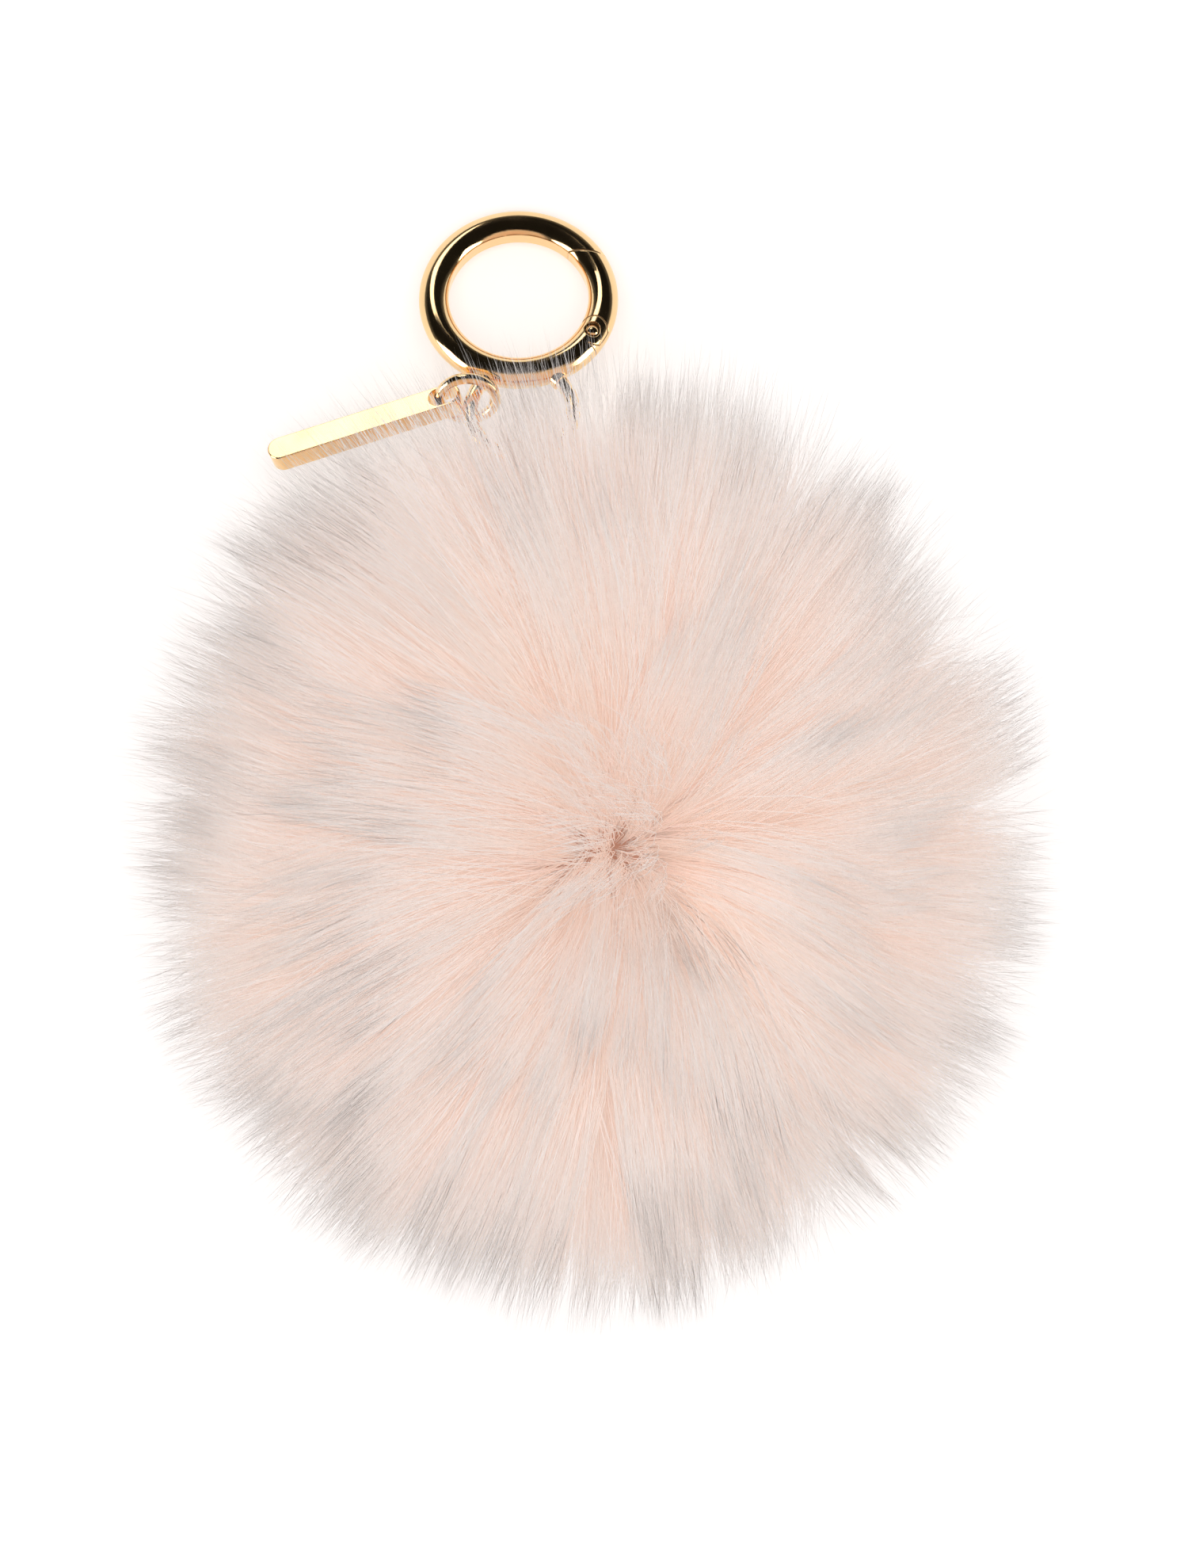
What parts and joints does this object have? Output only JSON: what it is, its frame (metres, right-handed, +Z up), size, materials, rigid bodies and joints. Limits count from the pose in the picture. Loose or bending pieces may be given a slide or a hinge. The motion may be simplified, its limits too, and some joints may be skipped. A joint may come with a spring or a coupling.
{
  "type": "fur pom-pom keychain",
  "caption": "Long-haired fur ball charm on a leather strap, with a spring-gate clip ring, a wire bail and a blank metal bar tag on a jump ring.",
  "frame": {"origin": "middle of the underside of the whole charm as it lies on a surface", "axes": "+Z up from the surface, +Y from the fur ball towards the clip ring, +X to the right seen from above"},
  "size_m": [0.116, 0.1502, 0.104],
  "materials": {
    "fur": "matte",
    "pelt_leather": "matte",
    "stuffing": "matte",
    "thread": "satin",
    "strap_leather": "satin",
    "gold_clip": "polished",
    "gold_wire": "polished",
    "gold_pin": "polished",
    "gold_tag": "polished",
    "plunger_steel": "satin",
    "spring_steel": "satin"
  },
  "bodies": {
    "pom": {"fur_pile": "fur", "pelt_shell": "pelt_leather", "stuffing_ball": "stuffing", "gathering_thread": "thread", "strap_root": "strap_leather"},
    "strap": {"hanger_strap": "strap_leather", "strap_stitching": "thread"},
    "clasp": {"ring_body": "gold_clip", "bail_loop": "gold_wire", "hinge_pin": "gold_pin", "gate_spring": "spring_steel"},
    "gate": {"gate": "gold_clip"},
    "plunger": {"gate_plunger": "plunger_steel"},
    "tag_link": {"tag_link_ring": "gold_wire"},
    "tag": {"tag_bar": "gold_tag"}
  },
  "joints": [
    {"name": "strap_bend", "type": "hinge", "parent": "pom", "child": "strap", "pos_m": [-0.004, 0.00621, 0.03498], "axis": [0.9882, 0.1385, -0.0655], "range_deg": [-10, 10]},
    {"name": "clasp_swing", "type": "hinge", "parent": "strap", "child": "clasp", "pos_m": [-0.0097, 0.03945, 0.01928], "axis": [1, 0, 0], "range_deg": [-60, 60]},
    {"name": "gate_swing", "type": "hinge", "parent": "clasp", "child": "gate", "pos_m": [0.00034, 0.05683, 0.01042], "axis": [0, 0.454, 0.891], "range_deg": [0, 32], "stiffness_Nm_per_rad": 0.006, "springref_deg": -11.46},
    {"name": "plunger_slide", "type": "slide", "parent": "clasp", "child": "plunger", "axis": [-0.4939, -0.7747, 0.3947], "range_m": [0, 0.00076], "deforming": ["gate_spring"]},
    {"name": "tag_link_swing", "type": "hinge", "parent": "clasp", "child": "tag_link", "pos_m": [-0.01668, 0.04785, 0.01499], "axis": [0.2924, 0.8521, -0.4342], "range_deg": [-20, 20]},
    {"name": "tag_swing", "type": "hinge", "parent": "tag_link", "child": "tag", "pos_m": [-0.02122, 0.0472, 0.01431], "axis": [-0.2335, 0.4975, 0.8355], "range_deg": [-20, 20]}
  ],
  "couplings": [
    {"joint": "plunger_slide", "follows": "gate_swing", "m_per_rad": 0.00135}
  ]
}
